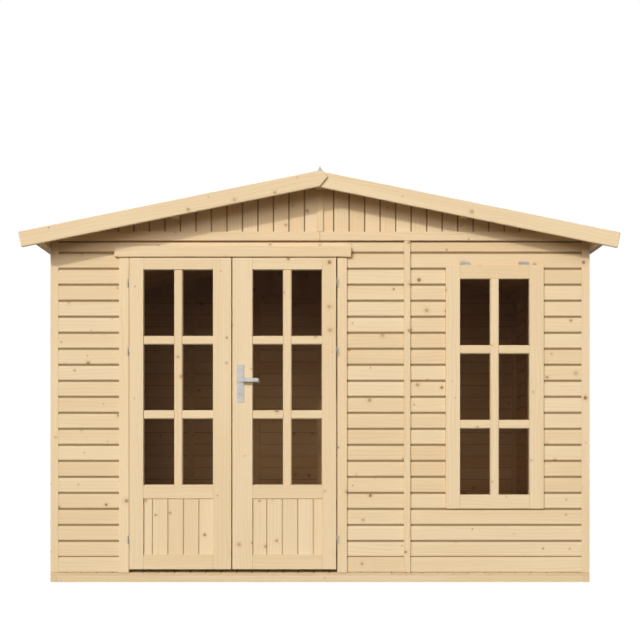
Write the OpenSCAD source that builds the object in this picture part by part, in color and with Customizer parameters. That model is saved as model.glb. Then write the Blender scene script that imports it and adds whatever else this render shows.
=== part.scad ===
// Garden shed with a low gable roof, double doors and one tall window.
// X runs along the front, Y runs from front to back, Z is up; millimetres.
// The body is centred on the origin in X and Y and rests on Z = 0.

/* [Body] */
// outside width of the walls
body_w = 3030; // [2500:10:3700]
// outside depth of the walls
body_d = 2030; // [1600:10:2500]
// height of the wall boards above the floor
wall_h = 1862; // [1700:2:2200]
// thickness of every cladding board
board_t = 16; // [12:1:22]
// depth of studs and plates behind the boards
stud_d = 28; // [20:1:60]
// width of a stud
stud_w = 45; // [30:1:70]
// height of the bottom and top plates
plate_h = 34; // [24:1:60]
// side of a square corner post
post_w = 45; // [45:1:70]
// width of the battens over joints between boards
batten_w = 36; // [24:1:60]
// thickness of those battens
batten_t = 16; // [10:1:24]
// distance of the front joint batten from the middle of the front
front_joint_x = 489; // [420:1:560]
// distance of the back joint battens from the middle of the back
back_joint_x = 505; // [400:5:700]

/* [Floor] */
// height of the bearers
bearer_h = 38; // [28:1:70]
// width of the two side bearers
side_bearer_w = 35; // [28:1:70]
// width of the bearers between them
cross_bearer_w = 45; // [28:1:70]
// number of those bearers
cross_count = 7; // [4:1:10]
// thickness of the floor boards
floor_t = 16; // [14:1:28]

/* [Doors] */
// distance of the doorway from the middle of the front, to the left
door_off = 487.5; // [400:0.5:600]
// clear width between the door jambs
door_clear_w = 1167; // [900:1:1250]
// width of a jamb
jamb_w = 56; // [40:1:70]
// how far the jambs stand in front of the boards
jamb_proud = 14; // [10:1:20]
// height of the lintel
lintel_h = 60; // [40:1:90]
// how far the lintel reaches past the jambs
lintel_ear = 22; // [0:1:40]
// gap between a leaf and what is round it
leaf_gap = 6; // [5.5:0.5:8]
// gap between the leaves and the floor
leaf_floor_gap = 22; // [12:1:30]
// thickness of a leaf
leaf_t = 36; // [30:1:45]
// how far the leaves stand in front of the boards
leaf_proud = 34; // [30:1:38]
// distance of the meeting line from the middle of the doorway
meet_shift = 5; // [0:1:8]
// width of the stile at the hinges
hinge_stile = 78; // [60:1:90]
// mean width of the stiles that meet
meet_stile = 107; // [95:1:130]
// height of the bottom rail
bottom_rail = 80; // [60:1:120]
// height of the boarded panel
panel_h = 315; // [200:5:500]
// height of the middle rail
mid_rail = 75; // [60:1:120]
// height of the top rail
top_rail = 65; // [50:1:100]
// how far the boarded panel lies behind the front of the leaf
panel_recess = 14; // [8:1:16]
// thickness of the boarded panel
panel_t = 12; // [8:1:16]
// how far the glass lies behind the front of the leaf
glass_recess = 20; // [14:1:24]

/* [Window] */
// distance of the window from the middle of the front, to the right
window_x = 979; // [940:1:1010]
// outside width of the sash
sash_w = 548; // [440:1:600]
// outside height of the sash
sash_h = 1364; // [1000:2:1450]
// height of the sash above the floor
sash_z = 360; // [250:1:400]
// width of the sash stiles
sash_stile = 79; // [60:1:100]
// height of the sash rails
sash_rail = 76; // [60:1:100]
// thickness of the sash
sash_t = 20; // [16:1:30]
// how far the window's glass lies behind the front of the sash
sash_recess = 14; // [10:1:14]

/* [Glazing] */
// thickness of every pane
glass_t = 4; // [3:0.5:6]
// width of the glazing bars
bar_w = 45; // [25:1:50]
// thickness of the glazing bars in front of the glass
bar_t = 13; // [8:1:13]
// rows of panes in a leaf and in the window
pane_rows = 3; // [2:1:4]
// how far a pane or panel reaches into its frame
rebate = 8; // [5:1:12]
// play between a pane and its rebate
rebate_play = 0.5; // [0.2:0.1:1]

/* [Roof] */
// slope of the roof in degrees
roof_pitch = 11.5; // [9:0.5:14]
// how far the roof boards reach past the side walls
eave_out = 85; // [60:1:140]
// how far the purlins reach past the front and back boards
verge_out = 190; // [120:1:260]
// thickness of the roof boards
deck_t = 16; // [14:1:24]
// thickness of the shingles
shingle_t = 6; // [4:1:10]
// play between the layers of the roof
lay_play = 0.1; // [0.05:0.05:0.5]
// how far the shingles reach past the roof boards at the eaves
shingle_lip = 10; // [0:1:20]
// width of a purlin
purlin_w = 45; // [28:1:60]
// height of a purlin
purlin_h = 24; // [20:1:60]
// distance of the side purlins from the ridge
purlin_x = 806; // [700:1:860]
// width of the eave battens
eave_batten_w = 28; // [18:1:40]
// height of the eave battens
eave_batten_h = 42; // [30:1:50]
// height of the gable beams
gable_beam_h = 50; // [40:1:70]
// height of the bargeboards, square to the slope
barge_h = 85; // [70:1:140]
// thickness of a bargeboard
barge_t = 18; // [14:1:28]
// how far a bargeboard stands above the shingles
barge_lip = 5.5; // [2:0.5:12]
// distance of a bargeboard's top outer corner from the eave of the boards
barge_end = 28; // [15:1:40]
// how far the overlapping bargeboard passes the ridge
barge_nose = 42; // [20:1:60]
// how far below the top the tip of that board is
barge_nose_drop = 34; // [15:1:60]
// width of each side of the ridge cap
cap_w = 150; // [100:5:200]
// thickness of the ridge cap
cap_t = 5; // [3:1:8]
// height of the fold along the ridge cap
cap_fold_h = 33; // [10:1:40]
// width of that fold
cap_fold_w = 28; // [16:1:40]

/* [Ironwork] */
// radius of a hinge barrel
barrel_r = 6; // [5:0.5:7]
// height of a hinge
hinge_h = 44; // [36:1:60]
// height of the lowest hinge above the foot of its leaf
hinge_low_z = 165; // [120:1:240]
// height of the middle hinge above the foot of its leaf
hinge_mid_z = 1218; // [700:1:1300]
// distance of the highest hinge below the top of its leaf
hinge_top_drop = 139; // [100:1:240]
// distance of the hinge axis from the edge of the leaf
hinge_out = 10; // [10:0.5:12]
// how far the hinge axis stands in front of the jamb
hinge_fwd = 7; // [7:0.5:9]
// radius of a hinge pin
pin_r = 3; // [2:0.25:3.5]
// running clearance round a pin or spindle
run_gap = 0.05; // [0.02:0.01:0.1]
// gap between the two halves of a hinge
half_gap = 0.5; // [0.3:0.1:1]
// thickness of a hinge arm
arm_t = 4; // [3:0.5:6]
// width of a handle plate
plate_w = 38; // [30:1:46]
// height of a handle plate
plate_l = 208; // [180:1:240]
// thickness of a handle plate
plate_t = 8; // [4:1:10]
// height of the lever above the floor
lever_z = 1077; // [900:1:1200]
// distance of the lever from the edge of its leaf
backset = 45; // [35:1:55]
// distance from the lever down to the keyhole
key_drop = 72; // [60:1:92]
// length of a lever from its axis
lever_l = 105; // [80:1:120]
// height of a lever bar
lever_bar_h = 20; // [12:1:26]
// thickness of a lever bar
lever_bar_t = 13; // [8:1:18]
// clear depth behind a lever bar
lever_clear = 38; // [30:1:60]
// radius of a lever's neck
neck_r = 8; // [6:0.5:12]
// radius of the spindle
spindle_r = 5; // [4:0.5:6]
// radius of the hole for it in the door
spindle_hole_r = 7; // [6.5:0.5:12]

/* [Hidden] */
fine = 48;
big = 4000;
floor_z = bearer_h + floor_t;
wall_top = floor_z + wall_h;
half_w = body_w / 2;
half_d = body_d / 2;
wall_t = board_t + stud_d;
inner_w = half_w - post_w;
inner_d = half_d - post_w;
frame_in = half_d - wall_t;
slope = tan(roof_pitch);
up = 1 / cos(roof_pitch);
ridge_z = wall_top + half_w * slope;
deck_x = half_w + eave_out;
deck_foot = ridge_z + lay_play;
deck_top = deck_foot + deck_t * up;
shingle_foot = deck_top + lay_play;
shingle_top = shingle_foot + shingle_t * up;
barge_top = shingle_top + barge_lip;
barge_x = deck_x + barge_end;
verge_near = half_d + verge_out;
verge_far = verge_near + barge_t;
door_l = -door_off - door_clear_w / 2;
door_r = -door_off + door_clear_w / 2;
jamb_l = door_l - jamb_w;
jamb_r = door_r + jamb_w;
lintel_l = jamb_l - lintel_ear;
lintel_r = jamb_r + lintel_ear;
lintel_top = wall_top - plate_h;
head_z = lintel_top - lintel_h;
leaf_y = -half_d - leaf_proud;
leaf_back = leaf_y + leaf_t;
leaf_z0 = floor_z + leaf_floor_gap;
leaf_z1 = head_z - leaf_gap;
leaf_l = door_l + leaf_gap;
leaf_r = door_r - leaf_gap;
meet_x = -door_off - meet_shift;
left_r = meet_x - leaf_gap / 2;
right_l = meet_x + leaf_gap / 2;
panel_z0 = leaf_z0 + bottom_rail;
panel_z1 = panel_z0 + panel_h;
light_z0 = panel_z1 + mid_rail;
light_z1 = leaf_z1 - top_rail;
left_in_l = leaf_l + hinge_stile;
left_in_r = left_r - meet_stile + meet_shift;
right_in_l = right_l + meet_stile + meet_shift;
right_in_r = leaf_r - hinge_stile;
panel_y = leaf_y + panel_recess;
glass_y = leaf_y + glass_recess;
sash_l = window_x - sash_w / 2;
sash_r = window_x + sash_w / 2;
sash_z0 = floor_z + sash_z;
sash_z1 = sash_z0 + sash_h;
sash_y = -half_d - sash_t;
sash_in_l = sash_l + sash_stile;
sash_in_r = sash_r - sash_stile;
sash_in_z0 = sash_z0 + sash_rail;
sash_in_z1 = sash_z1 - sash_rail;
sash_glass_y = sash_y + sash_recess;
hole_l = sash_in_l - rebate;
hole_r = sash_in_r + rebate;
hole_z0 = sash_in_z0 - rebate;
hole_z1 = sash_in_z1 + rebate;
axis_l = leaf_l - hinge_out;
axis_r = leaf_r + hinge_out;
axis_y = -half_d - jamb_proud - hinge_fwd;
hinge_zs = [leaf_z0 + hinge_low_z, leaf_z0 + hinge_mid_z, leaf_z1 - hinge_top_drop];
pin_l = hinge_h / 2 - arm_t;
lever_x = right_l + backset;
lever_axis_z = floor_z + lever_z;
plate_foot = lever_axis_z - (plate_l + key_drop) / 2 + plate_w / 2;
lever_out_y = leaf_y - plate_t;
lever_in_y = leaf_back + plate_t;
key_r = 4;
key_slot_w = 3;
key_slot_h = 12;
knuckle_l = 56;
knuckle_r = 6;
knuckle_inset = 110;
nogging_play = 1;
hinge_plate_h = 22;
hinge_plate_t = 3;

// A box between two corners.
module block(x0, x1, y0, y1, z0, z1)
  translate([x0, y0, z0]) cube([x1 - x0, y1 - y0, z1 - z0]);

// The same thing again at the back, turned half round.
module back_copy()
  rotate([0, 0, 180]) children();

// A profile drawn in X and Z, run from y0 to y1.
module run(y0, y1)
  translate([0, y1, 0]) rotate([90, 0, 0]) linear_extrude(height = y1 - y0) children();

// ---- floor ----

module side_bearers() color("tan") {
  block(-half_w, side_bearer_w - half_w, -half_d, half_d, 0, bearer_h);
  block(half_w - side_bearer_w, half_w, -half_d, half_d, 0, bearer_h);
}

module cross_bearers() color("tan") {
  span = body_d - cross_bearer_w;
  for (i = [0 : cross_count - 1]) {
    y = i * span / (cross_count - 1) - half_d;
    block(side_bearer_w - half_w, half_w - side_bearer_w, y, y + cross_bearer_w, 0, bearer_h);
  }
}

module floor_deck() color("tan")
  block(-half_w, half_w, -half_d, half_d, bearer_h, floor_z);

// ---- walls ----

module front_boards(x0, x1, z0, z1)
  block(x0, x1, -half_d, board_t - half_d, z0, z1);

module lintel_shape()
  block(lintel_l, lintel_r, leaf_y, -frame_in, head_z, lintel_top);

module front_wall_left() color("wheat") difference() {
  front_boards(-inner_w, jamb_l, floor_z, wall_top);
  lintel_shape();
}

module front_wall_head() color("wheat")
  front_boards(jamb_l, jamb_r, lintel_top, wall_top);

module front_wall_middle() color("wheat") difference() {
  front_boards(jamb_r, front_joint_x, floor_z, wall_top);
  lintel_shape();
}

module front_wall_window() color("wheat") difference() {
  front_boards(front_joint_x, inner_w, floor_z, wall_top);
  block(hole_l, hole_r, -big, 0, hole_z0, hole_z1);
}

module side_boards()
  block(half_w - board_t, half_w, -inner_d, inner_d, floor_z, wall_top);

module left_wall() color("wheat") back_copy() side_boards();

module right_wall() color("wheat") side_boards();

module back_wall() color("wheat") back_copy() front_boards(-inner_w, inner_w, floor_z, wall_top);

module corner_posts() color("burlywood")
  for (sx = [-1, 1], sy = [-1, 1])
    translate([sx * (half_w - post_w / 2), sy * (half_d - post_w / 2), floor_z])
      translate([-post_w / 2, -post_w / 2, 0]) cube([post_w, post_w, wall_h]);

module plate(x0, x1, z0)
  block(x0, x1, board_t - half_d, -frame_in, z0, z0 + plate_h);

module side_plate(z0)
  block(half_w - wall_t, half_w - board_t, -inner_d, inner_d, z0, z0 + plate_h);

module wall_plates() color("burlywood") {
  top_z = wall_top - plate_h;
  plate(-inner_w, inner_w, top_z);
  plate(-inner_w, jamb_l, floor_z);
  plate(jamb_r, inner_w, floor_z);
  for (z = [floor_z, top_z]) {
    back_copy() plate(-inner_w, inner_w, z);
    side_plate(z);
    back_copy() side_plate(z);
  }
}

// A stud behind the front boards, from plate to plate.
module front_stud(x, w)
  block(x - w / 2, x + w / 2, board_t - half_d, -frame_in, floor_z + plate_h, lintel_top);

module side_stud(y, w)
  block(half_w - wall_t, half_w - board_t, y - w / 2, y + w / 2, floor_z + plate_h, lintel_top);

module wall_studs() color("burlywood") {
  front_stud(front_joint_x, 2 * stud_w);
  front_stud(hole_l - stud_w / 2, stud_w);
  front_stud(hole_r + stud_w / 2, stud_w);
  for (z = [hole_z0 - stud_w, hole_z1])
    block(hole_l + nogging_play, hole_r - nogging_play, board_t - half_d, -frame_in, z, z + stud_w);
  back_copy() for (s = [-1, 1]) {
    front_stud(s * back_joint_x, 2 * stud_w);
    front_stud(s * (back_joint_x + inner_w) / 2, stud_w);
  }
  back_copy() front_stud(0, stud_w);
  for (y = [-inner_d / 2, inner_d / 2]) {
    side_stud(y, stud_w);
    back_copy() side_stud(y, stud_w);
  }
  side_stud(0, 2 * stud_w);
  back_copy() side_stud(0, 2 * stud_w);
}

module front_batten(x, z0, z1)
  block(x - batten_w / 2, x + batten_w / 2, -half_d - batten_t, -half_d, z0, z1);

module side_batten()
  block(half_w, half_w + batten_t, -batten_w / 2, batten_w / 2, floor_z,
    wall_top - eave_batten_h);

module joint_battens() color("burlywood") {
  front_batten(front_joint_x, floor_z, wall_top);
  side_batten();
  back_copy() {
    side_batten();
    front_batten(-back_joint_x, floor_z, wall_top);
    front_batten(back_joint_x, floor_z, wall_top);
  }
}

// ---- door frame ----

module jamb(x0)
  block(x0, x0 + jamb_w, -half_d - jamb_proud, -frame_in, floor_z, head_z);

module door_jambs() color("burlywood") {
  jamb(jamb_l);
  jamb(door_r);
}

module door_lintel() color("burlywood") lintel_shape();

// ---- panes ----

// A pane or panel that sits in a rebate open to the back.
module infill(x0, x1, y, t, z0, z1)
  block(x0 - rebate + rebate_play, x1 + rebate - rebate_play, y, y + t,
    z0 - rebate + rebate_play, z1 + rebate - rebate_play);

// The opening and its rebate, to be cut from a frame.
module light(x0, x1, y, z0, z1) {
  block(x0, x1, -big, 0, z0, z1);
  block(x0 - rebate, x1 + rebate, y, 0, z0 - rebate, z1 + rebate);
}

// One upright bar and the bars across, in front of the glass.
module bars(x0, x1, y, z0, z1) {
  mid = (x0 + x1) / 2;
  block(mid - bar_w / 2, mid + bar_w / 2, y - bar_t, y, z0, z1);
  pane = (z1 - z0 - (pane_rows - 1) * bar_w) / pane_rows;
  for (i = [1 : pane_rows - 1]) {
    z = z0 + i * pane + (i - 1) * bar_w;
    block(x0, x1, y - bar_t, y, z, z + bar_w);
  }
}

// ---- window ----

module window_sash() color("burlywood") {
  difference() {
    block(sash_l, sash_r, sash_y, -half_d, sash_z0, sash_z1);
    light(sash_in_l, sash_in_r, sash_glass_y, sash_in_z0, sash_in_z1);
  }
  bars(sash_in_l, sash_in_r, sash_glass_y, sash_in_z0, sash_in_z1);
}

module window_glass() color("lightblue")
  infill(sash_in_l, sash_in_r, sash_glass_y, glass_t, sash_in_z0, sash_in_z1);

module window_hinges() color("silver")
  for (x = [sash_l + knuckle_inset, sash_r - knuckle_inset]) {
    x0 = x - knuckle_l / 2;
    x1 = x + knuckle_l / 2;
    block(x0, x1, -half_d - hinge_plate_t, -half_d, sash_z1, sash_z1 + hinge_plate_h);
    block(x0, x1, sash_y, -half_d - hinge_plate_t, sash_z1, sash_z1 + knuckle_r);
    translate([x0, sash_y, sash_z1 + knuckle_r]) rotate([0, 90, 0])
      cylinder(r = knuckle_r, h = knuckle_l, $fn = fine);
  }

// ---- roof timbers ----

// The underside of the roof boards, over a point at x.
function soffit(x) = ridge_z - abs(x) * slope;

// A notch for a purlin at x, from its outer side to its inner one.
function notch(x, side) = let (foot = soffit(x) - purlin_h, h = side * purlin_w / 2)
  [[x + h, soffit(x + h)], [x + h, foot], [x - h, foot], [x - h, soffit(x - h)]];

module purlins() color("burlywood") {
  run(-verge_near, verge_near) polygon(notch(purlin_x, 1));
  run(-verge_near, verge_near) polygon(notch(-purlin_x, -1));
  run(-verge_near, verge_near) polygon(concat(notch(0, 1), [[0, ridge_z]]));
}

module gable_boards()
  run(-half_d, board_t - half_d)
    polygon(concat([[-half_w, wall_top], [half_w, wall_top]], notch(purlin_x, 1), notch(0, 1),
      notch(-purlin_x, 1)));

module gable_front() color("wheat") gable_boards();

module gable_back() color("wheat") back_copy() gable_boards();

module gable_beam() {
  top_x = half_w - gable_beam_h / slope;
  run(-half_d - batten_t, -half_d)
    polygon([[-half_w, wall_top], [half_w, wall_top], [top_x, wall_top + gable_beam_h],
      [-top_x, wall_top + gable_beam_h]]);
}

module gable_beams() color("burlywood") {
  gable_beam();
  back_copy() gable_beam();
}

module gable_batten()
  front_batten(0, wall_top + gable_beam_h, ridge_z - purlin_h);

module gable_battens() color("burlywood") {
  gable_batten();
  back_copy() gable_batten();
}

module eave_batten() {
  x1 = half_w + eave_batten_w;
  foot = wall_top - eave_batten_h;
  run(-verge_near, verge_near)
    polygon([[half_w, foot], [x1, foot], [x1, soffit(x1)], [half_w, wall_top]]);
}

module eave_battens() color("burlywood") {
  eave_batten();
  back_copy() eave_batten();
}

// ---- roof covering, drawn for the right half ----

// A slab of thickness t on the right slope, from the ridge to x1, its eave cut square.
module slope_slab(x1, under, t) {
  z1 = under - x1 * slope;
  run(-verge_near, verge_far)
    polygon([[0, under], [x1, z1], [x1 + t * sin(roof_pitch), z1 + t * cos(roof_pitch)],
      [0, under + t * up]]);
}

module deck_half()
  slope_slab(deck_x, deck_foot, deck_t);

module shingle_half()
  slope_slab(deck_x + shingle_lip, shingle_foot, shingle_t);

module roof_deck_left() color("wheat") back_copy() deck_half();

module roof_deck_right() color("wheat") deck_half();

module shingles_left() color("dimgray") back_copy() shingle_half();

module shingles_right() color("dimgray") shingle_half();

module ridge_cap() color("dimgray") {
  rise = cap_t * up;
  fold = cap_fold_w / 2;
  foot = shingle_top + lay_play;
  fold_z = foot + rise - fold * slope;
  edge = foot - cap_w * slope;
  peak = barge_top + cap_fold_h;
  run(-verge_near, verge_near)
    polygon([[0, foot], [cap_w, edge], [cap_w, edge + rise], [fold, fold_z],
      [0, peak], [-fold, fold_z], [-cap_w, edge + rise], [-cap_w, edge]]);
}

// A bargeboard's outline on the right slope: its outer end is cut square, and the points in
// nose give the end at the ridge, from the bottom edge up.
module barge_outline(nose) {
  z1 = barge_top - barge_x * slope;
  polygon(concat([[0, barge_top], [barge_x, z1],
    [barge_x - barge_h * sin(roof_pitch), z1 - barge_h * cos(roof_pitch)],
    [0, barge_top - barge_h * up]], nose));
}

module barge_plain()
  run(-verge_near - barge_t, -verge_near) barge_outline([]);

// The board whose pointed end laps over its neighbour at the ridge.
module barge_lapped()
  run(verge_far, verge_far + barge_t)
    barge_outline([[-barge_nose, barge_top - barge_nose_drop],
      [-barge_nose / 2, barge_top - barge_nose * slope / 2]]);

module bargeboard_front_right() color("burlywood") barge_plain();

module bargeboard_back_right() color("burlywood") barge_lapped();

module bargeboard_front_left() color("burlywood") back_copy() barge_lapped();

module bargeboard_back_left() color("burlywood") back_copy() barge_plain();

// ---- door leaves ----

// A leaf's stiles and rails, its opening from a to b.
module leaf_frame(x0, x1, a, b) {
  difference() {
    block(x0, x1, leaf_y, leaf_back, leaf_z0, leaf_z1);
    light(a, b, panel_y, panel_z0, panel_z1);
    light(a, b, glass_y, light_z0, light_z1);
  }
  bars(a, b, glass_y, light_z0, light_z1);
}

module left_door_frame() color("burlywood")
  leaf_frame(leaf_l, left_r, left_in_l, left_in_r);

module left_door_panel() color("wheat")
  infill(left_in_l, left_in_r, panel_y, panel_t, panel_z0, panel_z1);

module left_door_glass() color("lightblue")
  infill(left_in_l, left_in_r, glass_y, glass_t, light_z0, light_z1);

module right_door_frame() color("burlywood") difference() {
  leaf_frame(right_l, leaf_r, right_in_l, right_in_r);
  translate([lever_x, leaf_back + leaf_t, lever_axis_z]) rotate([90, 0, 0])
    cylinder(r = spindle_hole_r, h = 3 * leaf_t, $fn = fine);
}

module right_door_panel() color("wheat")
  infill(right_in_l, right_in_r, panel_y, panel_t, panel_z0, panel_z1);

module right_door_glass() color("lightblue")
  infill(right_in_l, right_in_r, glass_y, glass_t, light_z0, light_z1);

// ---- ironwork ----

// The half that turns with a leaf: side is the way from the axis to the leaf.
module door_half(x, z, side) {
  barrel_h = (hinge_h - half_gap) / 2;
  translate([x, axis_y, z + half_gap / 2]) difference() {
    union() {
      cylinder(r = barrel_r, h = barrel_h, $fn = fine);
      translate([side > 0 ? 0 : -hinge_out, -arm_t / 2, 0]) cube([hinge_out, arm_t, barrel_h]);
    }
    translate([0, 0, -half_gap]) cylinder(r = pin_r + run_gap, h = half_gap + pin_l, $fn = fine);
  }
}

// The half on the jamb, with its pin.
module jamb_half(x, z) {
  barrel_h = (hinge_h - half_gap) / 2;
  translate([x, axis_y, z - half_gap / 2 - barrel_h]) {
    cylinder(r = barrel_r, h = barrel_h, $fn = fine);
    cylinder(r = pin_r, h = barrel_h + half_gap + pin_l - 2 * half_gap, $fn = fine);
    translate([-arm_t / 2, 0, 0]) cube([arm_t, hinge_fwd, barrel_h]);
  }
}

module left_door_hinges() color("silver")
  for (z = hinge_zs) door_half(axis_l, z, 1);

module right_door_hinges() color("silver")
  for (z = hinge_zs) door_half(axis_r, z, -1);

module jamb_hinges() color("silver")
  for (z = hinge_zs) {
    jamb_half(axis_l, z);
    jamb_half(axis_r, z);
  }

// One plate, its outer face at y0 and y0 + plate_t.
module handle_plate(y0) difference() {
  block(lever_x - plate_w / 2, lever_x + plate_w / 2, y0, y0 + plate_t, plate_foot,
    plate_foot + plate_l);
  translate([lever_x, y0 - plate_t, lever_axis_z]) rotate([-90, 0, 0])
    cylinder(r = spindle_r + run_gap, h = 3 * plate_t, $fn = fine);
  translate([lever_x, y0 - plate_t, lever_axis_z - key_drop]) rotate([-90, 0, 0])
    cylinder(r = key_r, h = 3 * plate_t, $fn = fine);
  block(lever_x - key_slot_w / 2, lever_x + key_slot_w / 2, y0 - plate_t, y0 + 2 * plate_t,
    lever_axis_z - key_drop - key_slot_h, lever_axis_z - key_drop);
}

module handle_plates() color("silver") {
  handle_plate(leaf_y - plate_t);
  handle_plate(leaf_back);
}

// A neck and bar on the front; dir 1 points it to the back instead.
module lever_side(y, dir) {
  reach = half_gap + lever_clear;
  translate([lever_x, y, lever_axis_z]) {
    rotate([dir < 0 ? 90 : -90, 0, 0]) translate([0, 0, half_gap])
      cylinder(r = neck_r, h = lever_clear + lever_bar_t / 2, $fn = fine);
    y0 = dir < 0 ? -reach - lever_bar_t : reach;
    translate([0, y0, 0]) rotate([-90, 0, 0])
      cylinder(r = lever_bar_h / 2, h = lever_bar_t, $fn = fine);
    translate([0, y0, -lever_bar_h / 2])
      cube([lever_l - lever_bar_h / 2, lever_bar_t, lever_bar_h]);
    translate([lever_l - lever_bar_h / 2, y0, 0]) rotate([-90, 0, 0])
      cylinder(r = lever_bar_h / 2, h = lever_bar_t, $fn = fine);
  }
}

module lever_handle() color("silver") {
  lever_side(lever_out_y, -1);
  lever_side(lever_in_y, 1);
  translate([lever_x, lever_out_y - 2 * half_gap, lever_axis_z]) rotate([-90, 0, 0])
    cylinder(r = spindle_r, h = lever_in_y - lever_out_y + 4 * half_gap, $fn = fine);
}

side_bearers();
cross_bearers();
floor_deck();
front_wall_left();
front_wall_head();
front_wall_middle();
front_wall_window();
left_wall();
right_wall();
back_wall();
corner_posts();
wall_studs();
wall_plates();
joint_battens();
door_jambs();
door_lintel();
window_sash();
window_glass();
window_hinges();
gable_front();
gable_back();
gable_beams();
gable_battens();
purlins();
eave_battens();
roof_deck_left();
roof_deck_right();
shingles_left();
shingles_right();
ridge_cap();
bargeboard_front_left();
bargeboard_front_right();
bargeboard_back_left();
bargeboard_back_right();
left_door_frame();
left_door_panel();
left_door_glass();
left_door_hinges();
right_door_frame();
right_door_panel();
right_door_glass();
right_door_hinges();
jamb_hinges();
handle_plates();
lever_handle();
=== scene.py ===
"""Garden shed: boards, shingles, doors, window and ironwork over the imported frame."""

import math
import random

import bmesh
import bpy
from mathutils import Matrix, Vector


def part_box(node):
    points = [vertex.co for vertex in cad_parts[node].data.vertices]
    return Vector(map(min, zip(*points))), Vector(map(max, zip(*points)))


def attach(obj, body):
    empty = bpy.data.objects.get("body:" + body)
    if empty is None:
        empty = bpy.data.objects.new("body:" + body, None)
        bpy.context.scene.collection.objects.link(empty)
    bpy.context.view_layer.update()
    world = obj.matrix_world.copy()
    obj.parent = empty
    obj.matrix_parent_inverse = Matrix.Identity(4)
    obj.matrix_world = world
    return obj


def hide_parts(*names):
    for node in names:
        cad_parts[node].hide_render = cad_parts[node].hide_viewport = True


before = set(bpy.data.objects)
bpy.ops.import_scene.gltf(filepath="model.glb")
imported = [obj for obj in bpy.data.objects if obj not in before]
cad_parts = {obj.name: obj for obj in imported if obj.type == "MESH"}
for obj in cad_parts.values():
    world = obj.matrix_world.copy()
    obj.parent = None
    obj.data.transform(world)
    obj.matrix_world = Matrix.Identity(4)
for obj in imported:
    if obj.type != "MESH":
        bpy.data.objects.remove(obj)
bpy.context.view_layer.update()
ROOT = "building"
rng = random.Random(41)

# ---------------------------------------------------------------- camera and light

scene = bpy.context.scene
HALF_W, HALF_D, FLOOR_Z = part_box("floor_deck")[1]

EYE_HEIGHT = 0.782
EYE_DISTANCE = 5.54      # from the front wall
SENSOR = 36.0
FRAME_WIDTH = 3.5955     # what the picture spans in the plane of the front wall
RAISE = 0.192            # upward shift of the lens, as a share of the picture

cam_data = bpy.data.cameras.new("camera")
cam_data.sensor_width = SENSOR
cam_data.lens = SENSOR * EYE_DISTANCE / FRAME_WIDTH
cam_data.shift_y = RAISE
cam_data.clip_end = 100
cam = bpy.data.objects.new("camera", cam_data)
cam.location = (0, -HALF_D - EYE_DISTANCE, EYE_HEIGHT)
cam.rotation_euler = (math.radians(90), 0, 0)
scene.collection.objects.link(cam)
scene.camera = cam
scene.view_settings.view_transform = "Standard"

KEY_POWER, KEY_SPREAD, KEY_WAY = 1.35, 2.5, (0.494, 1.0, -0.31)
FILL_POWER, FILL_SPREAD, FILL_WAY = 2.1, 42, (0.10, 1.0, -0.10)
SKY_FRONT, SKY_BACK = 0.27, 0.95
SKY_WARM = (1.0, 0.90, 0.74, 1)
SKY_TURN = (-0.1, 0.6)   # where the sky goes from its front to its back strength
WHITE = (1, 1, 1, 1)
GROUND_SIZE = 40
GROUND_GLOW = 0.93       # share of plain white in the ground that the camera sees
GROUND_WHITE = 1.06
GROUND_SEEN, GROUND_BOUNCE = 0.80, 0.12


def tree_of(owner):
    """The emptied node tree of a material or world."""
    owner.use_nodes = True
    nt = owner.node_tree
    nt.nodes.clear()
    return nt


def camera_like(nt):
    """1 for rays that should see a white background: camera, glossy and transmission."""
    path = nt.nodes.new("ShaderNodeLightPath")
    rays = path.outputs["Is Camera Ray"]
    for kind in ("Is Glossy Ray", "Is Transmission Ray"):
        either = nt.nodes.new("ShaderNodeMath")
        either.operation = "MAXIMUM"
        nt.links.new(rays, either.inputs[0])
        nt.links.new(path.outputs[kind], either.inputs[1])
        rays = either.outputs[0]
    return rays


world = bpy.data.worlds.new("sky")
scene.world = world
wt = tree_of(world)
w_out = wt.nodes.new("ShaderNodeOutputWorld")
w_mix = wt.nodes.new("ShaderNodeMixShader")
w_amb = wt.nodes.new("ShaderNodeBackground")
w_amb.inputs["Color"].default_value = SKY_WARM
w_way = wt.nodes.new("ShaderNodeTexCoord")
w_sep = wt.nodes.new("ShaderNodeSeparateXYZ")
w_map = wt.nodes.new("ShaderNodeMapRange")
w_map.inputs["From Min"].default_value = SKY_TURN[0]
w_map.inputs["From Max"].default_value = SKY_TURN[1]
w_map.inputs["To Min"].default_value = SKY_FRONT
w_map.inputs["To Max"].default_value = SKY_BACK
wt.links.new(w_way.outputs["Generated"], w_sep.inputs[0])
wt.links.new(w_sep.outputs[1], w_map.inputs["Value"])
wt.links.new(w_map.outputs[0], w_amb.inputs["Strength"])
w_white = wt.nodes.new("ShaderNodeBackground")
w_white.inputs["Color"].default_value = WHITE
wt.links.new(camera_like(wt), w_mix.inputs[0])
wt.links.new(w_amb.outputs[0], w_mix.inputs[1])
wt.links.new(w_white.outputs[0], w_mix.inputs[2])
wt.links.new(w_mix.outputs[0], w_out.inputs[0])


def sun(name, power, spread, travel):
    data = bpy.data.lights.new(name, "SUN")
    data.energy, data.angle = power, math.radians(spread)
    lamp = bpy.data.objects.new(name, data)
    lamp.rotation_euler = Vector(travel).to_track_quat("-Z", "Y").to_euler()
    lamp.visible_glossy = False
    scene.collection.objects.link(lamp)


sun("key", KEY_POWER, KEY_SPREAD, KEY_WAY)
sun("fill", FILL_POWER, FILL_SPREAD, FILL_WAY)

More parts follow.
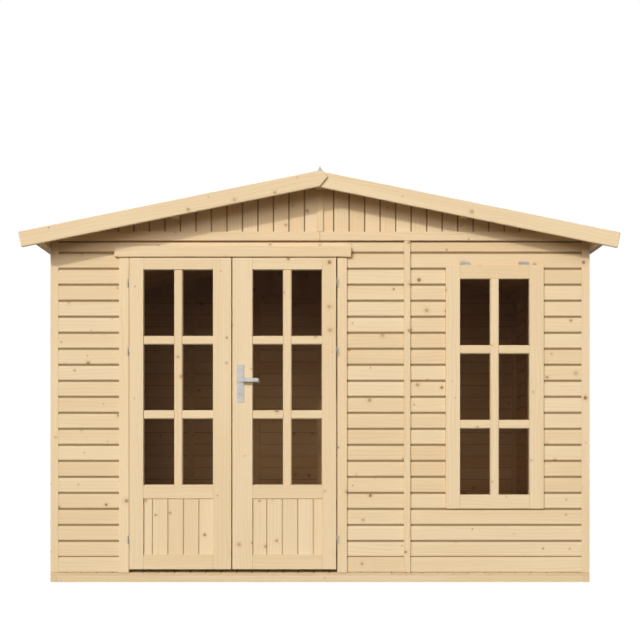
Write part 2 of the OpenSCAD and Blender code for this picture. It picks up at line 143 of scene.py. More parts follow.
floor_mesh = bpy.data.meshes.new("ground")
corners = [(GROUND_SIZE * x, GROUND_SIZE * y, 0) for x, y in ((-1, -1), (1, -1), (1, 1), (-1, 1))]
floor_mesh.from_pydata(corners, [], [(0, 1, 2, 3)])
ground = bpy.data.objects.new("ground", floor_mesh)
scene.collection.objects.link(ground)
g_mat = bpy.data.materials.new("ground_white")
gt = tree_of(g_mat)
g_out = gt.nodes.new("ShaderNodeOutputMaterial")
g_mix = gt.nodes.new("ShaderNodeMixShader")
g_share = gt.nodes.new("ShaderNodeMath")
g_share.operation = "MULTIPLY"
g_share.inputs[1].default_value = GROUND_GLOW
g_dif = gt.nodes.new("ShaderNodeBsdfDiffuse")
g_tone = gt.nodes.new("ShaderNodeMapRange")
g_tone.inputs["To Min"].default_value = GROUND_BOUNCE
g_tone.inputs["To Max"].default_value = GROUND_SEEN
gt.links.new(camera_like(gt), g_tone.inputs["Value"])
gt.links.new(g_tone.outputs[0], g_dif.inputs["Color"])
g_emi = gt.nodes.new("ShaderNodeEmission")
g_emi.inputs["Color"].default_value = WHITE
g_emi.inputs["Strength"].default_value = GROUND_WHITE
gt.links.new(camera_like(gt), g_share.inputs[0])
gt.links.new(g_share.outputs[0], g_mix.inputs[0])
gt.links.new(g_dif.outputs[0], g_mix.inputs[1])
gt.links.new(g_emi.outputs[0], g_mix.inputs[2])
gt.links.new(g_mix.outputs[0], g_out.inputs[0])
floor_mesh.materials.append(g_mat)

# ---------------------------------------------------------------- materials


class Nodes:
    """Small helper that adds nodes to a material's tree and links them."""

    def __init__(self, mat):
        self.nt = tree_of(mat)
        self.out = self.nt.nodes.new("ShaderNodeOutputMaterial")

    def add(self, kind, inputs=None, **props):
        n = self.nt.nodes.new(kind)
        for k, v in props.items():
            setattr(n, k, v)
        for k, v in (inputs or {}).items():
            if hasattr(v, "links"):
                self.nt.links.new(v, n.inputs[k])
            else:
                n.inputs[k].default_value = v
        return n

    def math(self, op, a, b=0.0, c=0.0):
        return self.add("ShaderNodeMath", {0: a, 1: b, 2: c}, operation=op).outputs[0]

    def scaled(self, vec, scale):
        return self.add("ShaderNodeVectorMath", {0: vec, 1: scale}, operation="MULTIPLY").outputs[0]

    def noise(self, vec, scale, detail=2.0, rough=0.5):
        inputs = {"Vector": self.scaled(vec, scale), "Scale": 1.0, "Detail": detail, "Roughness": rough}
        return self.add("ShaderNodeTexNoise", inputs).outputs[0]

    def step(self, value, low, high, to_low=0.0, to_high=1.0):
        inputs = {"Value": value, "From Min": low, "From Max": high, "To Min": to_low, "To Max": to_high}
        return self.add("ShaderNodeMapRange", inputs, interpolation_type="SMOOTHSTEP").outputs[0]

    def faded(self, value, share, below, colour):
        """colour laid over below where value is high, at most by share."""
        return self.mix(self.math("MULTIPLY", value, share), below, colour)

    def board(self):
        """The three attributes of each board: its grain vector, its tint, and a face mark for end grain
        and for joint faces that carry painted shade.
        """
        return [self.add("ShaderNodeAttribute", attribute_name=name).outputs[out]
                for name, out in (("grain", "Vector"), ("tint", "Fac"), ("ends_and_joint_shade", "Fac"))]

    def mix(self, fac, a, b, blend="MIX"):
        m = self.add("ShaderNodeMix", data_type="RGBA", blend_type=blend)
        for slot, v in ((m.inputs[0], fac), (m.inputs[6], a), (m.inputs[7], b)):
            if hasattr(v, "links"):
                self.nt.links.new(v, slot)
            else:
                slot.default_value = v if slot is m.inputs[0] else (*v, 1)
        return m.outputs[2]

    def finish(self, shader):
        self.nt.links.new(shader, self.out.inputs[0])

    def surface(self, colour, rough, bump, more):
        inputs = {"Base Color": colour, "Roughness": rough, "Normal": bump.outputs[0], **more}
        self.finish(self.add("ShaderNodeBsdfPrincipled", inputs).outputs[0])


def spruce(name, pale, deep, knots, rough=0.62):
    """Planed softwood with knots. A face marked 1 is end grain, and a face marked 2 lies in a joint
    between boards and is darkened with painted shade.
    """
    mat = bpy.data.materials.new(name)
    n = Nodes(mat)
    g, tint, end = n.board()
    sep = n.add("ShaderNodeSeparateXYZ", {0: g})

    # one knot in some of the cells, larger where the cell's second colour is high
    cell = n.add("ShaderNodeTexVoronoi", {"Vector": g, "Scale": 8.0}, voronoi_dimensions="2D")
    dist = cell.outputs["Distance"]
    pick = n.add("ShaderNodeSeparateColor", {0: cell.outputs["Color"]})
    chosen = n.step(pick.outputs[0], 1.0 - knots, 1.0 - knots + 0.01)
    size = n.math("POWER", pick.outputs[1], 2.0)
    radius = n.math("MULTIPLY_ADD", size, 0.050, 0.024)
    ragged = n.math("ADD", dist, n.math("MULTIPLY", n.noise(g, (110, 110, 110)), 0.020))
    rel = n.math("DIVIDE", ragged, radius)
    strong = n.math("MULTIPLY_ADD", pick.outputs[2], 0.62, 0.30)
    knot = n.math("MULTIPLY", n.math("MULTIPLY", n.step(rel, 1.7, 0.9), chosen), strong)
    halo = n.math("MULTIPLY", n.step(rel, 4.2, 1.0), chosen)

    # growth rings, bent round the knots, and fine fibres along the board
    broad = n.noise(g, (0.9, 7, 7), 2.0)
    wander = n.noise(g, (1.7, 8, 8), 2.0)
    phase = n.math("ADD", n.math("MULTIPLY", sep.outputs[1], 120.0), n.math("MULTIPLY", wander, 9.0))
    phase = n.math("ADD", phase, n.math("MULTIPLY", sep.outputs[2], 200.0))
    phase = n.math("ADD", phase, n.math("MULTIPLY", halo, 2.0))
    ring = n.math("MULTIPLY_ADD", n.math("SINE", n.math("MULTIPLY", phase, 2.6)), 0.5, 0.5)
    uneven = n.step(n.noise(g, (1.2, 15, 15)), 0.35, 0.65, 0.25, 1.0)
    late = n.math("MULTIPLY", n.math("POWER", ring, 3.0), uneven)
    fibre = n.noise(g, (22, 760, 760), 3.0, 0.6)

    col = n.mix(tint, pale, deep)
    col = n.faded(n.step(broad, 0.40, 0.66), 0.42, col, (0.865, 0.700, 0.465))
    col = n.faded(late, 0.26, col, (0.66, 0.44, 0.225))
    col = n.faded(n.step(fibre, 0.45, 0.75), 0.20, col, (0.70, 0.50, 0.28))
    col = n.faded(halo, 0.26, col, (0.60, 0.36, 0.17))
    col = n.faded(knot, 0.90, col, (0.21, 0.100, 0.040))
    # end grain takes a darker tone; joint faces take it too, as the first part of their painted shade
    col = n.faded(n.math("MINIMUM", end, 1.0), 0.40, col, (0.62, 0.44, 0.23))
    # painted shade: joint faces go dark brown, standing in for the shade in the grooves between boards
    col = n.mix(n.step(end, 1.2, 2.0, 0.0, 0.68), col, (0.165, 0.095, 0.032))

    height = n.math("ADD", n.math("MULTIPLY", fibre, 0.6), n.math("MULTIPLY", late, 0.35))
    height = n.math("SUBTRACT", height, n.math("MULTIPLY", knot, 0.5))
    bump = n.add("ShaderNodeBump", {"Strength": 0.35, "Distance": 0.0006, "Height": height})
    satin = n.math("MULTIPLY_ADD", fibre, 0.18, rough - 0.09)
    n.surface(col, satin, bump, {"Specular IOR Level": 0.28})
    return mat


def shingle_material():
    """Mineral granules on bitumen, with a darker band next to the course above."""
    mat = bpy.data.materials.new("bitumen_shingle")
    n = Nodes(mat)
    g, tint, end = n.board()
    sep = n.add("ShaderNodeSeparateXYZ", {0: g})
    grit = n.add("ShaderNodeTexVoronoi", {"Vector": g, "Scale": 520.0})
    speck = n.add("ShaderNodeSeparateColor", {0: grit.outputs["Color"]})
    cloud = n.noise(g, (14, 14, 14), 3.0)
    ragged = n.math("ADD", sep.outputs[1], n.math("MULTIPLY", n.noise(g, (160, 160, 160)), 0.006))
    band = n.step(ragged, BAND_FROM, BAND_FROM + 0.006)
    col = n.mix(tint, (0.120, 0.098, 0.096), (0.098, 0.087, 0.090))
    col = n.faded(n.step(cloud, 0.35, 0.7), 0.5, col, (0.132, 0.102, 0.098))
    col = n.faded(band, 0.80, col, (0.058, 0.056, 0.056))
    col = n.mix(n.step(speck.outputs[0], 0.72, 0.95, 0.0, 0.55), col, (0.24, 0.205, 0.20))
    col = n.mix(n.step(speck.outputs[1], 0.72, 0.95, 0.0, 0.55), col, (0.030, 0.027, 0.027))
    col = n.mix(end, col, (0.018, 0.017, 0.017))
    grains = n.step(grit.outputs["Distance"], 0.0, 0.7, 1.0, 0.0)
    bump = n.add("ShaderNodeBump", {"Strength": 0.6, "Distance": 0.0009, "Height": grains})
    rough = n.math("MULTIPLY_ADD", speck.outputs[2], 0.15, 0.78)
    n.surface(col, rough, bump, {"Specular IOR Level": 0.3})
    return mat


def metal_material(name, dark, light, rough, metallic=1.0):
    """Satin metal with fine scratches and a slight cloudiness."""
    mat = bpy.data.materials.new(name)
    n = Nodes(mat)
    p = n.add("ShaderNodeTexCoord").outputs["Object"]
    brush = n.noise(p, (900, 900, 60), 2.0)
    cloud = n.noise(p, (35, 35, 35), 3.0)
    col = n.mix(n.step(cloud, 0.3, 0.7), dark, light)
    col = n.faded(n.step(brush, 0.5, 0.8), 0.25, col, tuple(0.8 * c for c in dark))
    bump = n.add("ShaderNodeBump", {"Strength": 0.15, "Distance": 0.0002, "Height": brush})
    satin = n.math("MULTIPLY_ADD", cloud, 0.16, rough - 0.08)
    n.surface(col, satin, bump, {"Metallic": metallic})
    return mat


def glass_material():
    """Thin clear glass: what is behind it, a little darker, and a weak reflection."""
    mat = bpy.data.materials.new("window_glass_clear")
    n = Nodes(mat)
    p = n.add("ShaderNodeTexCoord").outputs["Object"]
    wave = n.noise(p, (3, 3, 3), 1.0)
    bump = n.add("ShaderNodeBump", {"Strength": 0.05, "Distance": 0.002, "Height": wave})
    clear = n.add("ShaderNodeBsdfTransparent", {"Color": (0.85, 0.79, 0.72, 1)})
    shine = n.add("ShaderNodeBsdfGlossy", {"Color": WHITE, "Roughness": 0.02, "Normal": bump.outputs[0]})
    fres = n.add("ShaderNodeFresnel", {"IOR": 1.12})
    mix = n.add("ShaderNodeMixShader", {0: fres.outputs[0], 1: clear.outputs[0], 2: shine.outputs[0]})
    n.finish(mix.outputs[0])
    return mat


COURSE = 0.140                    # how much of each course of shingles shows
BAND_FROM = 2 * COURSE - 0.042    # up from a tab's foot
MAT_BOARD = spruce("spruce_board", (0.825, 0.655, 0.430), (0.770, 0.575, 0.345), knots=0.42)
MAT_FRAME = spruce("spruce_frame_wood", (0.815, 0.640, 0.410), (0.780, 0.590, 0.360), knots=0.30)
MAT_INSIDE = spruce("spruce_rough_inside", (0.78, 0.60, 0.37), (0.72, 0.53, 0.31), knots=0.35, rough=0.72)
MAT_BEARER = spruce("treated_bearer", (0.815, 0.645, 0.415), (0.76, 0.58, 0.35), knots=0.30, rough=0.75)
MAT_SHINGLE = shingle_material()
MAT_ZINC = metal_material("zinc_steel", (0.58, 0.55, 0.48), (0.68, 0.64, 0.56), 0.45)
MAT_ALU = metal_material("satin_aluminium", (0.58, 0.56, 0.53), (0.66, 0.64, 0.61), 0.34)
MAT_STRIP = metal_material("ridge_strip_grey", (0.60, 0.59, 0.52), (0.68, 0.66, 0.58), 0.55, 0.3)
MAT_GLASS = glass_material()

# ---------------------------------------------------------------- mesh building

X, Y, Z = Vector((1, 0, 0)), Vector((0, 1, 0)), Vector((0, 0, 1))


def ease(obj, width, segments, angle):
    """Round off the edges of a mesh that are sharper than an angle in degrees."""
    mod = obj.modifiers.new("arris", "BEVEL")
    mod.width, mod.segments, mod.limit_method = width, segments, "ANGLE"
    mod.angle_limit = math.radians(angle)


class Piece:
    """One mesh of many boards. Each board keeps its own grain, tint and end grain, and marks the faces in
    its joints for painted shade.
    """

    def __init__(self, name, mat, body=ROOT, node=None, slot="spruce_frame", bevel=0.0):
        self.name, self.mat, self.body, self.slot, self.bevel = name, mat, body, slot, bevel
        self.nodes = [node] if isinstance(node, str) else list(node or [])
        self.v, self.f, self.grain, self.tint, self.end = [], [], [], [], []

    def prism(self, ring0, ring1, along=X, across=Z, tint=None, offset=None, dark=(), joint_shade=2.0):
        """A board between two like outlines. along and across place its grain. The long faces listed in
        dark lie in a joint and are darkened with painted shade; face i runs from point i to the next."""
        base, k = len(self.v), len(ring0)
        through = along.cross(across)
        t = rng.random() if tint is None else tint
        o = offset or Vector((rng.uniform(0, 60), rng.uniform(0, 60), rng.uniform(0, 9)))
        for p in list(ring0) + list(ring1):
            q = Vector(p)
            self.v.append(q)
            self.grain.append((q.dot(along) + o.x, q.dot(across) + o.y, q.dot(through) + o.z))
            self.tint.append(t)
        for i in range(k):
            j = (i + 1) % k
            self.f.append((base + i, base + j, base + k + j, base + k + i))
            # faces in a joint get the painted-shade mark
            self.end.append(joint_shade if i in dark else 0.0)
        self.f.append(tuple(base + i for i in reversed(range(k))))
        self.f.append(tuple(base + k + i for i in range(k)))
        cap = 1.0 if abs((Vector(ring1[0]) - Vector(ring0[0])).normalized().dot(along)) > 0.7 else 0.0
        self.end += [cap, cap]

    def timber(self, x0, x1, y0, y1, z0, z1, grain="long", tint=None):
        """A squared timber. grain is x, y, z or long, its longest side."""
        size = {"x": x1 - x0, "y": y1 - y0, "z": z1 - z0}
        axis = max(size, key=size.get) if grain == "long" else grain
        if axis == "x":
            ring = [(y0, z0), (y1, z0), (y1, z1), (y0, z1)]
            self.prism([(x0, a, b) for a, b in ring], [(x1, a, b) for a, b in ring], X, Z, tint)
        elif axis == "y":
            ring = [(x0, z0), (x1, z0), (x1, z1), (x0, z1)]
            self.prism([(a, y0, b) for a, b in ring], [(a, y1, b) for a, b in ring], Y, X, tint)
        else:
            ring = [(x0, y0), (x1, y0), (x1, y1), (x0, y1)]
            self.prism([(a, b, z0) for a, b in ring], [(a, b, z1) for a, b in ring], Z, X, tint)

    def build(self):
        mesh = bpy.data.meshes.new(self.name)
        mesh.from_pydata([tuple(p) for p in self.v], [], self.f)
        mesh.attributes.new("grain", "FLOAT_VECTOR", "POINT").data.foreach_set(
            "vector", [c for g in self.grain for c in g])
        mesh.attributes.new("tint", "FLOAT", "POINT").data.foreach_set("value", self.tint)
        mesh.attributes.new("ends_and_joint_shade", "FLOAT", "FACE").data.foreach_set("value", self.end)
        bm = bmesh.new()
        bm.from_mesh(mesh)
        bmesh.ops.recalc_face_normals(bm, faces=bm.faces)
        bm.to_mesh(mesh)
        bm.free()
        mesh.materials.append(self.mat)
        obj = bpy.data.objects.new(self.name, mesh)
        scene.collection.objects.link(obj)
        if self.bevel:
            ease(obj, self.bevel, 2, 30)
        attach(obj, self.body)
        if self.nodes:
            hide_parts(*self.nodes)


def turned(points):
    """The same points, turned half round the building's upright axis."""
    return [(-p[0], -p[1], p[2]) for p in points]


# ---------------------------------------------------------------- sizes from the frame

wall_lo, wall_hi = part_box("right_wall")
BOARD_T = wall_hi[0] - wall_lo[0]
WALL_TOP = wall_hi[2]
POST = HALF_D - wall_hi[1]
jamb_lo, jamb_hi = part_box("door_jambs")
lint_lo, lint_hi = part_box("door_lintel")
head_lo, head_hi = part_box("front_wall_head")
sash_lo, sash_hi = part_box("window_sash")
wgl_lo, wgl_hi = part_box("window_glass")
JAMB_L, JAMB_R = head_lo[0], head_hi[0]
JAMB_W = 0.056
JOINT_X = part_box("front_wall_middle")[1][0]
bat_lo, bat_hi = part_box("gable_battens")
BATTEN_W = bat_hi[0] - bat_lo[0]
BATTEN_T = bat_hi[1] - HALF_D
BEAM_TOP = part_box("gable_beams")[1][2]

deck_lo, deck_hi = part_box("roof_deck_right")
pur_lo, pur_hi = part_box("purlins")
plain_lo, plain_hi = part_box("bargeboard_front_right")
RIDGE_Z = pur_hi[2]
SLOPE = (RIDGE_Z - WALL_TOP) / HALF_W
ANGLE = math.atan(SLOPE)
COS, SIN = math.cos(ANGLE), math.sin(ANGLE)
DECK_T = (deck_hi[2] - RIDGE_Z) * COS
VERGE_NEAR, VERGE_FAR = -deck_lo[1], deck_hi[1]

PITCH = 0.090         # how much of a shiplap board shows
TINY = 0.004          # less of a board than this is left out
REACH = 0.0075        # how far panes and panels reach into their frames
TONGUE = 0.0014       # how far a board reaches behind its neighbour
SEAM = 0.0005         # half the joint between two boards or walls
SKIN = 0.0003         # kept free where one piece lies on another
FLUSH = 0.0002        # kept free between a stile and its rails
ROOF_SKIN = 0.0004    # kept free under the roof boards
PURLIN_W = 0.045
PURLIN_X = pur_hi[0] - PURLIN_W / 2
PURLIN_H = RIDGE_Z - PURLIN_X * SLOPE - pur_lo[2]


def soffit(x):
    return RIDGE_Z - abs(x) * SLOPE


# ---------------------------------------------------------------- cladding

# The section of one shiplap board as (height in its pitch, depth behind the face).
SHIPLAP = [(0.0055, 0.0), (0.0032, 0.0009), (0.0022, 0.0028), (0.0022, 0.0085), (-0.0045, 0.0085),
           (-0.0045, 0.0128), (-0.0008, 0.0160), (0.0862, 0.0160), (0.0862, 0.0090), (0.0838, 0.0068),
           (0.0800, 0.0058), (0.0700, 0.0008), (0.0680, 0.0)]
# faces of the section that lie in the joint under the lip of the board above; they are darkened with
# painted shade
JOINT_FACES = (2, 3, 5, 8, 9)


def run(place, a, b):
    """The direction along a wall from a to b."""
    return (Vector(place(b, 0, 0)) - Vector(place(a, 0, 0))).normalized()


def shiplap_wall(piece, x0, x1, place, z_from=FLOOR_Z, z_to=WALL_TOP, hole=None):
    """Boards along a wall from x0 to x1. place(x, depth, z) gives a point of that wall."""
    row, z = 0, FLOOR_Z
    while z < z_to - TINY:
        if z + PITCH > z_from + TINY:
            spans = [(x0, x1)]
            if hole and z < hole[3] - TINY and z + PITCH > hole[2] + TINY:
                spans = [(x0, hole[0]), (hole[1], x1)]
            for a, b in spans:
                section = [(min(max(z + h, z_from), z_to), d) for h, d in SHIPLAP]
                if row == 0:
                    section = [(max(h, FLOOR_Z + SEAM), d) for h, d in section]
                pts, dark = [], []
                for i, (h, d) in enumerate(section):
                    if not pts or (abs(pts[-1][0] - h) > 1e-6 or abs(pts[-1][1] - d) > 1e-6):
                        # faces lying in a joint are marked for painted shade
                        if i in JOINT_FACES and row > 0 and z >= z_from - 0.001:
                            dark.append(len(pts))
                        pts.append((h, d))
                r0 = [place(a, d, h) for h, d in pts]
                r1 = [place(b, d, h) for h, d in pts]
                piece.prism(r0, r1, run(place, a, b), Z, dark=dark)
        z += PITCH
        row += 1


def front_place(x, d, z):
    return (x, -HALF_D + d, z)


def back_place(x, d, z):
    return (-x, HALF_D - d, z)


def right_place(y, d, z):
    return (HALF_W - d, y, z)


def left_place(y, d, z):
    return (-HALF_W + d, -y, z)


IN_W, IN_D = HALF_W - POST, HALF_D - POST
HOLE = (wgl_lo[0] - SEAM, wgl_hi[0] + SEAM, wgl_lo[2] - SEAM, wgl_hi[2] + SEAM)
TOP_GAP, TOP_DEEP = 0.009, 0.009    # height of the filler, and how far it stands back
BACK_X = 0.505                      # the joints of the back wall's modules


def boards(name, node, x0, x1, place, **more):
    """A wall's boards, with a recessed filler over the top one whose front face is darkened with painted
    shade.
    """
    piece = Piece(name, MAT_BOARD, node=node, slot="spruce_boards")
    for a, b in zip(x0, x1):
        shiplap_wall(piece, a, b, place, z_to=WALL_TOP - TOP_GAP, **more)
        ring = [(TOP_DEEP, WALL_TOP - TOP_GAP), (TOP_DEEP, WALL_TOP),
                (BOARD_T, WALL_TOP), (BOARD_T, WALL_TOP - TOP_GAP)]
        r0, r1 = ([place(x, d, z) for d, z in ring] for x in (a, b))
        # the filler's front face gets painted shade, for the shade in the gap under the beam
        piece.prism(r0, r1, run(place, a, b), Z, dark=(0,))
    piece.build()


boards("cladding_front_left", "front_wall_left", [-IN_W], [JAMB_L], front_place)
boards("cladding_over_doors", "front_wall_head", [JAMB_L], [JAMB_R], front_place, z_from=lint_hi[2])
boards("cladding_front_middle", "front_wall_middle", [JAMB_R], [JOINT_X - SEAM], front_place)
boards("cladding_round_window", "front_wall_window", [JOINT_X + SEAM], [IN_W], front_place, hole=HOLE)
boards("cladding_left", "left_wall", [-IN_D, SEAM], [-SEAM, IN_D], left_place)
boards("cladding_right", "right_wall", [-IN_D, SEAM], [-SEAM, IN_D], right_place)
boards("cladding_back", "back_wall", [-IN_W, -BACK_X + SEAM, BACK_X + SEAM],
       [-BACK_X - SEAM, BACK_X - SEAM, IN_W], back_place)

# ---------------------------------------------------------------- gables

GABLE_PITCH = 0.0871
GABLE_SEAM = 0.0006
FIRST_CUT = 0.0104      # taken off the first board right of the middle
GABLE_END = 0.03        # boards narrower than this at the eave are left out


def gable_strip(piece, x0, x1, level, groove0, groove1, back, tint, offset):
    """An upright board or part of one, with a V on each side that has a groove. It ends under
    the roof, or at level where a purlin lies over it."""
    c, y = 0.0036, -HALF_D
    ring = [(x0 - TONGUE, y + BOARD_T), (x1 + TONGUE, y + BOARD_T)]
    ring += [(x1, y + c), (x1 - c, y)] if groove1 else [(x1, y)]
    # the faces of each V are darkened with painted shade
    dark = [2] if groove1 else []
    if groove0:
        dark.append(len(ring))
    ring += [(x0 + c, y), (x0, y + c)] if groove0 else [(x0, y)]
    r0 = [(a, b, WALL_TOP) for a, b in ring]
    r1 = [(a, b, (soffit(a) if level is None else level) - SEAM) for a, b in ring]
    if back:
        r0, r1 = turned(r0), turned(r1)
    piece.prism(r0, r1, Z, X, tint, offset, dark)


def gable(name, node, back):
    piece = Piece(name, MAT_BOARD, node=node, slot="spruce_boards")
    cuts = [x + s * PURLIN_W / 2 for x in (-PURLIN_X, 0.0, PURLIN_X) for s in (-1, 1)]
    for side, start in ((-1, 0.0), (1, -FIRST_CUT)):
        k = 0
        while True:
            a = start + side * (k * GABLE_PITCH + GABLE_SEAM)
            b = start + side * ((k + 1) * GABLE_PITCH - GABLE_SEAM)
            if side > 0 and k == 0:
                a = GABLE_SEAM
            x0, x1 = min(a, b), max(a, b)
            if abs(a) > HALF_W - GABLE_END:
                break
            x0, x1 = max(x0, -HALF_W + 0.002), min(x1, HALF_W - 0.002)
            edges = [x0] + [c for c in cuts if x0 < c < x1] + [x1]
            tint = rng.random()
            offset = Vector((rng.uniform(0, 60), rng.uniform(0, 60), 0))
            for p, q in zip(edges, edges[1:]):
                mid = (p + q) / 2
                near = min((-PURLIN_X, 0.0, PURLIN_X), key=lambda c: abs(c - mid))
                level = soffit(near) - PURLIN_H if abs(mid - near) < PURLIN_W / 2 else None
                gable_strip(piece, p, q, level, p == x0, q == x1, back, tint, offset)
            k += 1
    piece.build()


gable("gable_boards_front", "gable_front", False)
gable("gable_boards_back", "gable_back", True)

beams = Piece("gable_beam_timbers", MAT_FRAME, node="gable_beams", bevel=0.003)
top_x = HALF_W - (BEAM_TOP - WALL_TOP) / SLOPE
BEAM_SEAM = 0.0004
for back in (False, True):
    for s in (-1, 1):
        outline = [(s * BEAM_SEAM, WALL_TOP), (s * HALF_W, WALL_TOP),
                   (s * top_x, BEAM_TOP), (s * BEAM_SEAM, BEAM_TOP)]
        r0 = [(a, -HALF_D - BATTEN_T, b) for a, b in outline]
        r1 = [(a, -HALF_D, b) for a, b in outline]
        if back:
            r0, r1 = turned(r0), turned(r1)
        beams.prism(r0, r1, X, Z)
beams.build()

battens = Piece("gable_centre_battens", MAT_FRAME, node="gable_battens", bevel=0.003)
for s in (-1, 1):
    y0, y1 = sorted((s * HALF_D, s * (HALF_D + BATTEN_T)))
    battens.timber(bat_lo[0], bat_hi[0], y0, y1, BEAM_TOP, bat_hi[2], "z")
battens.build()

# ---------------------------------------------------------------- frame timbers

posts = Piece("corner_post_timbers", MAT_FRAME, node="corner_posts", bevel=0.0025)
for sx in (-1, 1):
    for sy in (-1, 1):
        x0, x1 = sorted((sx * HALF_W, sx * (HALF_W - POST)))
        y0, y1 = sorted((sy * HALF_D, sy * (HALF_D - POST)))
        posts.timber(x0, x1, y0, y1, FLOOR_Z, WALL_TOP, "z")
posts.build()

joints = Piece("joint_batten_timbers", MAT_FRAME, node="joint_battens", bevel=0.003)
h = BATTEN_W / 2
joints.timber(JOINT_X - h, JOINT_X + h, -HALF_D - BATTEN_T, -HALF_D, FLOOR_Z, WALL_TOP, "z")
for s in (-1, 1):
    joints.timber(s * BACK_X - h, s * BACK_X + h, HALF_D, HALF_D + BATTEN_T, FLOOR_Z, WALL_TOP, "z")
    x0, x1 = sorted((s * HALF_W, s * (HALF_W + BATTEN_T)))
    joints.timber(x0, x1, -h, h, FLOOR_Z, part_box("eave_battens")[0][2], "z")
joints.build()

STUD_D, STUD_W, PLATE_H = 0.028, 0.045, 0.034
FRAME_IN = HALF_D - BOARD_T - STUD_D
studs = Piece("wall_stud_timbers", MAT_INSIDE, node="wall_studs", bevel=0.0015)
low, high = FLOOR_Z + PLATE_H, lint_hi[2]


def stud(axis, side, c, w):
    """A stud w wide, centred on c, in the wall whose face looks along side of the axis."""
    if axis == "y":
        y0, y1 = sorted((side * FRAME_IN, side * (HALF_D - BOARD_T)))
        studs.timber(c - w / 2, c + w / 2, y0, y1, low, high, "z")
    else:
        x0, x1 = sorted((side * (HALF_W - BOARD_T - STUD_D), side * (HALF_W - BOARD_T)))
        studs.timber(x0, x1, c - w / 2, c + w / 2, low, high, "z")


for c, w in ((JOINT_X, 2 * STUD_W), (HOLE[0] - STUD_W / 2, STUD_W), (HOLE[1] + STUD_W / 2, STUD_W)):
    stud("y", -1, c, w)
for z in (HOLE[2] - STUD_W, HOLE[3]):
    studs.timber(HOLE[0] + 2 * SEAM, HOLE[1] - 2 * SEAM, -FRAME_IN - STUD_D, -FRAME_IN, z, z + STUD_W, "x")
for s in (-1, 1):
    stud("y", 1, s * BACK_X, 2 * STUD_W)
    stud("y", 1, s * (BACK_X + IN_W) / 2, STUD_W)
    stud("x", s, 0, 2 * STUD_W)
    for c in (-IN_D / 2, IN_D / 2):
        stud("x", s, c, STUD_W)
stud("y", 1, 0, STUD_W)
studs.build()

plates = Piece("wall_plate_timbers", MAT_INSIDE, node="wall_plates", bevel=0.0015)
for z in (FLOOR_Z, high):
    for s in (-1, 1):
        y0, y1 = sorted((s * FRAME_IN, s * (FRAME_IN + STUD_D)))
        spans = [(-IN_W, IN_W)] if s > 0 or z > 1 else [(-IN_W, JAMB_L), (JAMB_R, IN_W)]
        for a, b in spans:
            plates.timber(a, b, y0, y1, z, z + PLATE_H, "x")
        x0, x1 = sorted((s * (HALF_W - BOARD_T - STUD_D), s * (HALF_W - BOARD_T)))
        plates.timber(x0, x1, -IN_D, IN_D, z, z + PLATE_H, "y")
plates.build()

# ---------------------------------------------------------------- floor

bearers = Piece("bearer_timbers", MAT_BEARER, node=["side_bearers", "cross_bearers"],
                slot="treated_timber", bevel=0.002)
SIDE_W = 0.035
BEARER_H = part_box("side_bearers")[1][2]
for s in (-1, 1):
    x0, x1 = sorted((s * HALF_W, s * (HALF_W - SIDE_W)))
    bearers.timber(x0, x1, -HALF_D, HALF_D, 0, BEARER_H, "y")
COUNT, CROSS_W = 7, 0.045
for i in range(COUNT):
    y = -HALF_D + i * (2 * HALF_D - CROSS_W) / (COUNT - 1)
    bearers.timber(-HALF_W + SIDE_W, HALF_W - SIDE_W, y, y + CROSS_W, 0, BEARER_H, "x")
bearers.build()



def planed(a, b, low, high, face, back, c):
    """The outline of a board from a to b. The edges of its face are sloped off by c, and
    tongues at its back stay within low to high."""
    edge = face + c if back > face else face - c
    return [(max(a - TONGUE, low), back), (min(b + TONGUE, high), back), (b, edge), (b - c, face),
            (a + c, face), (a, edge)]


floor = Piece("floor_board_planks", MAT_INSIDE, node="floor_deck", slot="floor_boards")
FLOOR_SEAM, LAST_BOARD = 0.0010, 0.01
x = -HALF_W
while x < HALF_W - LAST_BOARD:
    x1 = min(x + GABLE_PITCH, HALF_W)
    ring = planed(x + FLOOR_SEAM, x1 - FLOOR_SEAM, -HALF_W, HALF_W, FLOOR_Z, BEARER_H, 0.0022)
    # the sloped edges of each board are darkened with painted shade
    floor.prism([(p, -HALF_D, q) for p, q in ring], [(p, HALF_D, q) for p, q in ring], Y, X, dark=(2, 4))
    x = x1
floor.build()

# ---------------------------------------------------------------- doors and window


BAR_W = 0.045
BAR_PROUD = 0.013       # how far the bars stand in front of the panes
FIRST_PANEL_BOARD = {"left": 0.0495, "right": 0.0800}    # what shows of each leaf's first board


def edged_bar(piece, x0, x1, y0, y1, z0, z1, axis, c):
    """A glazing bar from y0, its front, to y1, with its two front edges sloped off."""
    if axis == "z":
        ring = [(x0, y1), (x1, y1), (x1, y0 + c), (x1 - c, y0), (x0 + c, y0), (x0, y0 + c)]
        piece.prism([(a, b, z0) for a, b in ring], [(a, b, z1) for a, b in ring], Z, X)
    else:
        ring = [(z0, y1), (z1, y1), (z1, y0 + c), (z1 - c, y0), (z0 + c, y0), (z0, y0 + c)]
        piece.prism([(x0, b, a) for a, b in ring], [(x1, b, a) for a, b in ring], X, Z)


def lights(piece, x0, x1, z0, z1, front, y0, y1, back):
    """Bars between panes: in front of the glass from front to y0, and behind it from y1 to back."""
    mid = (x0 + x1) / 2
    w = BAR_W / 2
    pane = (z1 - z0 - 2 * BAR_W) / 3
    for a, b, c in ((front, y0, 0.004), (back, y1, 0.003)):
        edged_bar(piece, mid - w, mid + w, a, b, z0, z1, "z", c if a < b else -c)
        for i in (1, 2):
            z = z0 + i * pane + (i - 1) * BAR_W
            for p, q in ((x0, mid - w), (mid + w, x1)):
                edged_bar(piece, p, q, a, b, z, z + BAR_W, "x", c if a < b else -c)


